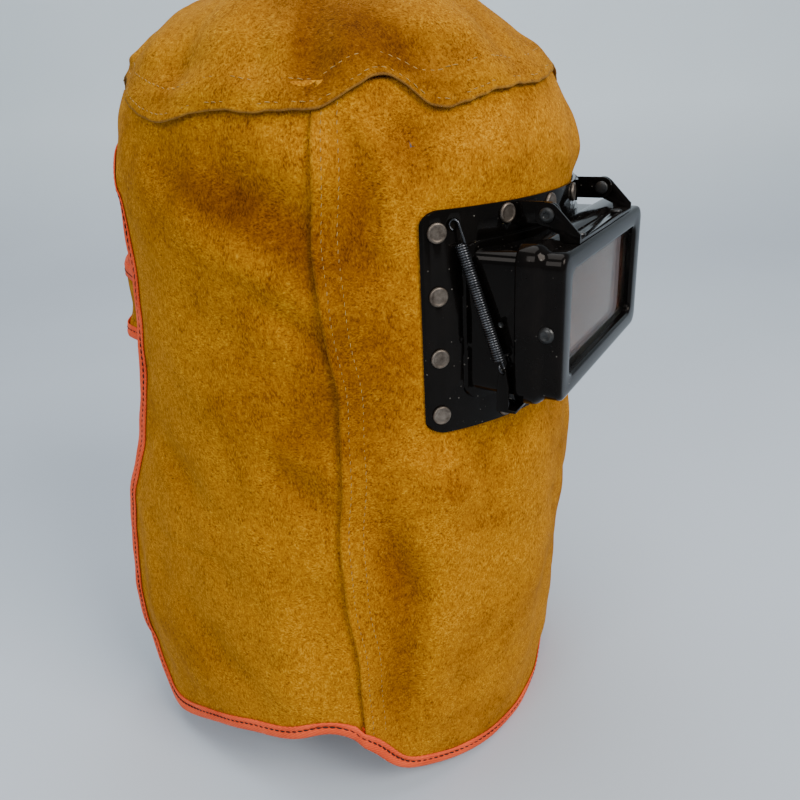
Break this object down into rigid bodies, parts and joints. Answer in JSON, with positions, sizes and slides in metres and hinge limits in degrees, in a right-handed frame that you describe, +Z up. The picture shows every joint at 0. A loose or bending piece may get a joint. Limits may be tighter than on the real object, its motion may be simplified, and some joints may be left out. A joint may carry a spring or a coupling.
{
  "type": "welding helmet",
  "caption": "Split-leather welding hood covering head and neck, with a riveted steel lens holder whose front flips up on a hinge and is held by side springs.",
  "frame": {"origin": "inside of the crown, where the top of the head seats", "axes": "+Z up out of the crown, -Y the way the face looks, +X to the wearer's left"},
  "size_m": [0.2358, 0.25, 0.3835],
  "materials": {
    "suede": "golden split leather, raised nap",
    "crown_suede": "golden split leather, raised nap",
    "binding_tape": "woven coral-orange tape",
    "hook_and_loop": "black hook-and-loop tape",
    "sweatband_cloth": "padded cotton",
    "black_paint": "glossy black enamel on steel",
    "flip_paint": "semi-gloss black enamel on steel",
    "rivet_steel": "dull plated steel",
    "pin_steel": "blackened steel",
    "spring_steel": "oiled black spring wire",
    "retainer_steel": "spring steel",
    "gasket_rubber": "matte rubber",
    "clear_glass": "clear polished",
    "dark_glass": "dark welding filter"
  },
  "bodies": {
    "hood": {"backing_frame": "black_paint", "base_plate": "black_paint", "brow_sweatband": "sweatband_cloth", "clear_cover_gasket": "gasket_rubber", "clear_cover_glass": "clear_glass", "clear_cover_retainer": "retainer_steel", "cover_retainer_rivets": "pin_steel", "crown_panel": "crown_suede", "edge_binding": "binding_tape", "front_panel": "suede", "hinge_ear_left": "black_paint", "hinge_ear_right": "black_paint", "lens_box": "black_paint", "pivot_pin_left": "pin_steel", "pivot_pin_right": "pin_steel", "pivot_washer_left": "pin_steel", "pivot_washer_right": "pin_steel", "plate_rivets": "rivet_steel", "side_panel_left": "suede", "side_panel_right": "suede", "strap_base": "suede", "strap_loop_patch": "hook_and_loop"},
    "flip_lid": {"flip_front": "flip_paint", "filter_cover_glass": "clear_glass", "filter_gasket": "gasket_rubber", "dark_filter_glass": "dark_glass", "filter_retainer": "retainer_steel", "filter_retainer_rivets": "pin_steel", "hinge_bail": "flip_paint", "bail_rivets": "pin_steel", "spring_tab_left": "black_paint", "spring_tab_right": "black_paint"},
    "rear_strap": {"closure_strap": "suede", "strap_hook_patch": "hook_and_loop"},
    "spring_coil_left": {"spring_left": "spring_steel"},
    "spring_hook_left": {"spring_tail_left": "spring_steel"},
    "spring_coil_right": {"spring_right": "spring_steel"},
    "spring_hook_right": {"spring_tail_right": "spring_steel"}
  },
  "joints": [
    {"name": "flip_hinge", "type": "hinge", "parent": "hood", "child": "flip_lid", "pos_m": [0, -0.1107, -0.0955], "axis": [-1, 0, 0], "range_deg": [0, 120]},
    {"name": "strap_hinge", "type": "hinge", "parent": "hood", "child": "rear_strap", "pos_m": [-0.0842, 0.0783, -0.14], "axis": [0, 0, 1], "range_deg": [0, 110]},
    {"name": "spring_swing_left", "type": "hinge", "parent": "hood", "child": "spring_coil_left", "pos_m": [0.065, -0.0828, -0.096], "axis": [-1, 0, 0], "range_deg": [0, 86]},
    {"name": "spring_stretch_left", "type": "slide", "parent": "spring_coil_left", "child": "spring_hook_left", "axis": [0, -0.334, -0.9426], "range_m": [0, 0.0242], "deforming": ["spring_left"]},
    {"name": "spring_swing_right", "type": "hinge", "parent": "hood", "child": "spring_coil_right", "pos_m": [-0.065, -0.0828, -0.096], "axis": [-1, 0, 0], "range_deg": [0, 86]},
    {"name": "spring_stretch_right", "type": "slide", "parent": "spring_coil_right", "child": "spring_hook_right", "axis": [0, -0.334, -0.9426], "range_m": [0, 0.0242], "deforming": ["spring_right"]}
  ],
  "couplings": [
    {"joint": "spring_swing_left", "follows": "flip_hinge", "ratio": 0.71637},
    {"joint": "spring_stretch_left", "follows": "flip_hinge", "m_per_rad": 0.011527},
    {"joint": "spring_swing_right", "follows": "flip_hinge", "ratio": 0.71637},
    {"joint": "spring_stretch_right", "follows": "flip_hinge", "m_per_rad": 0.011527}
  ]
}
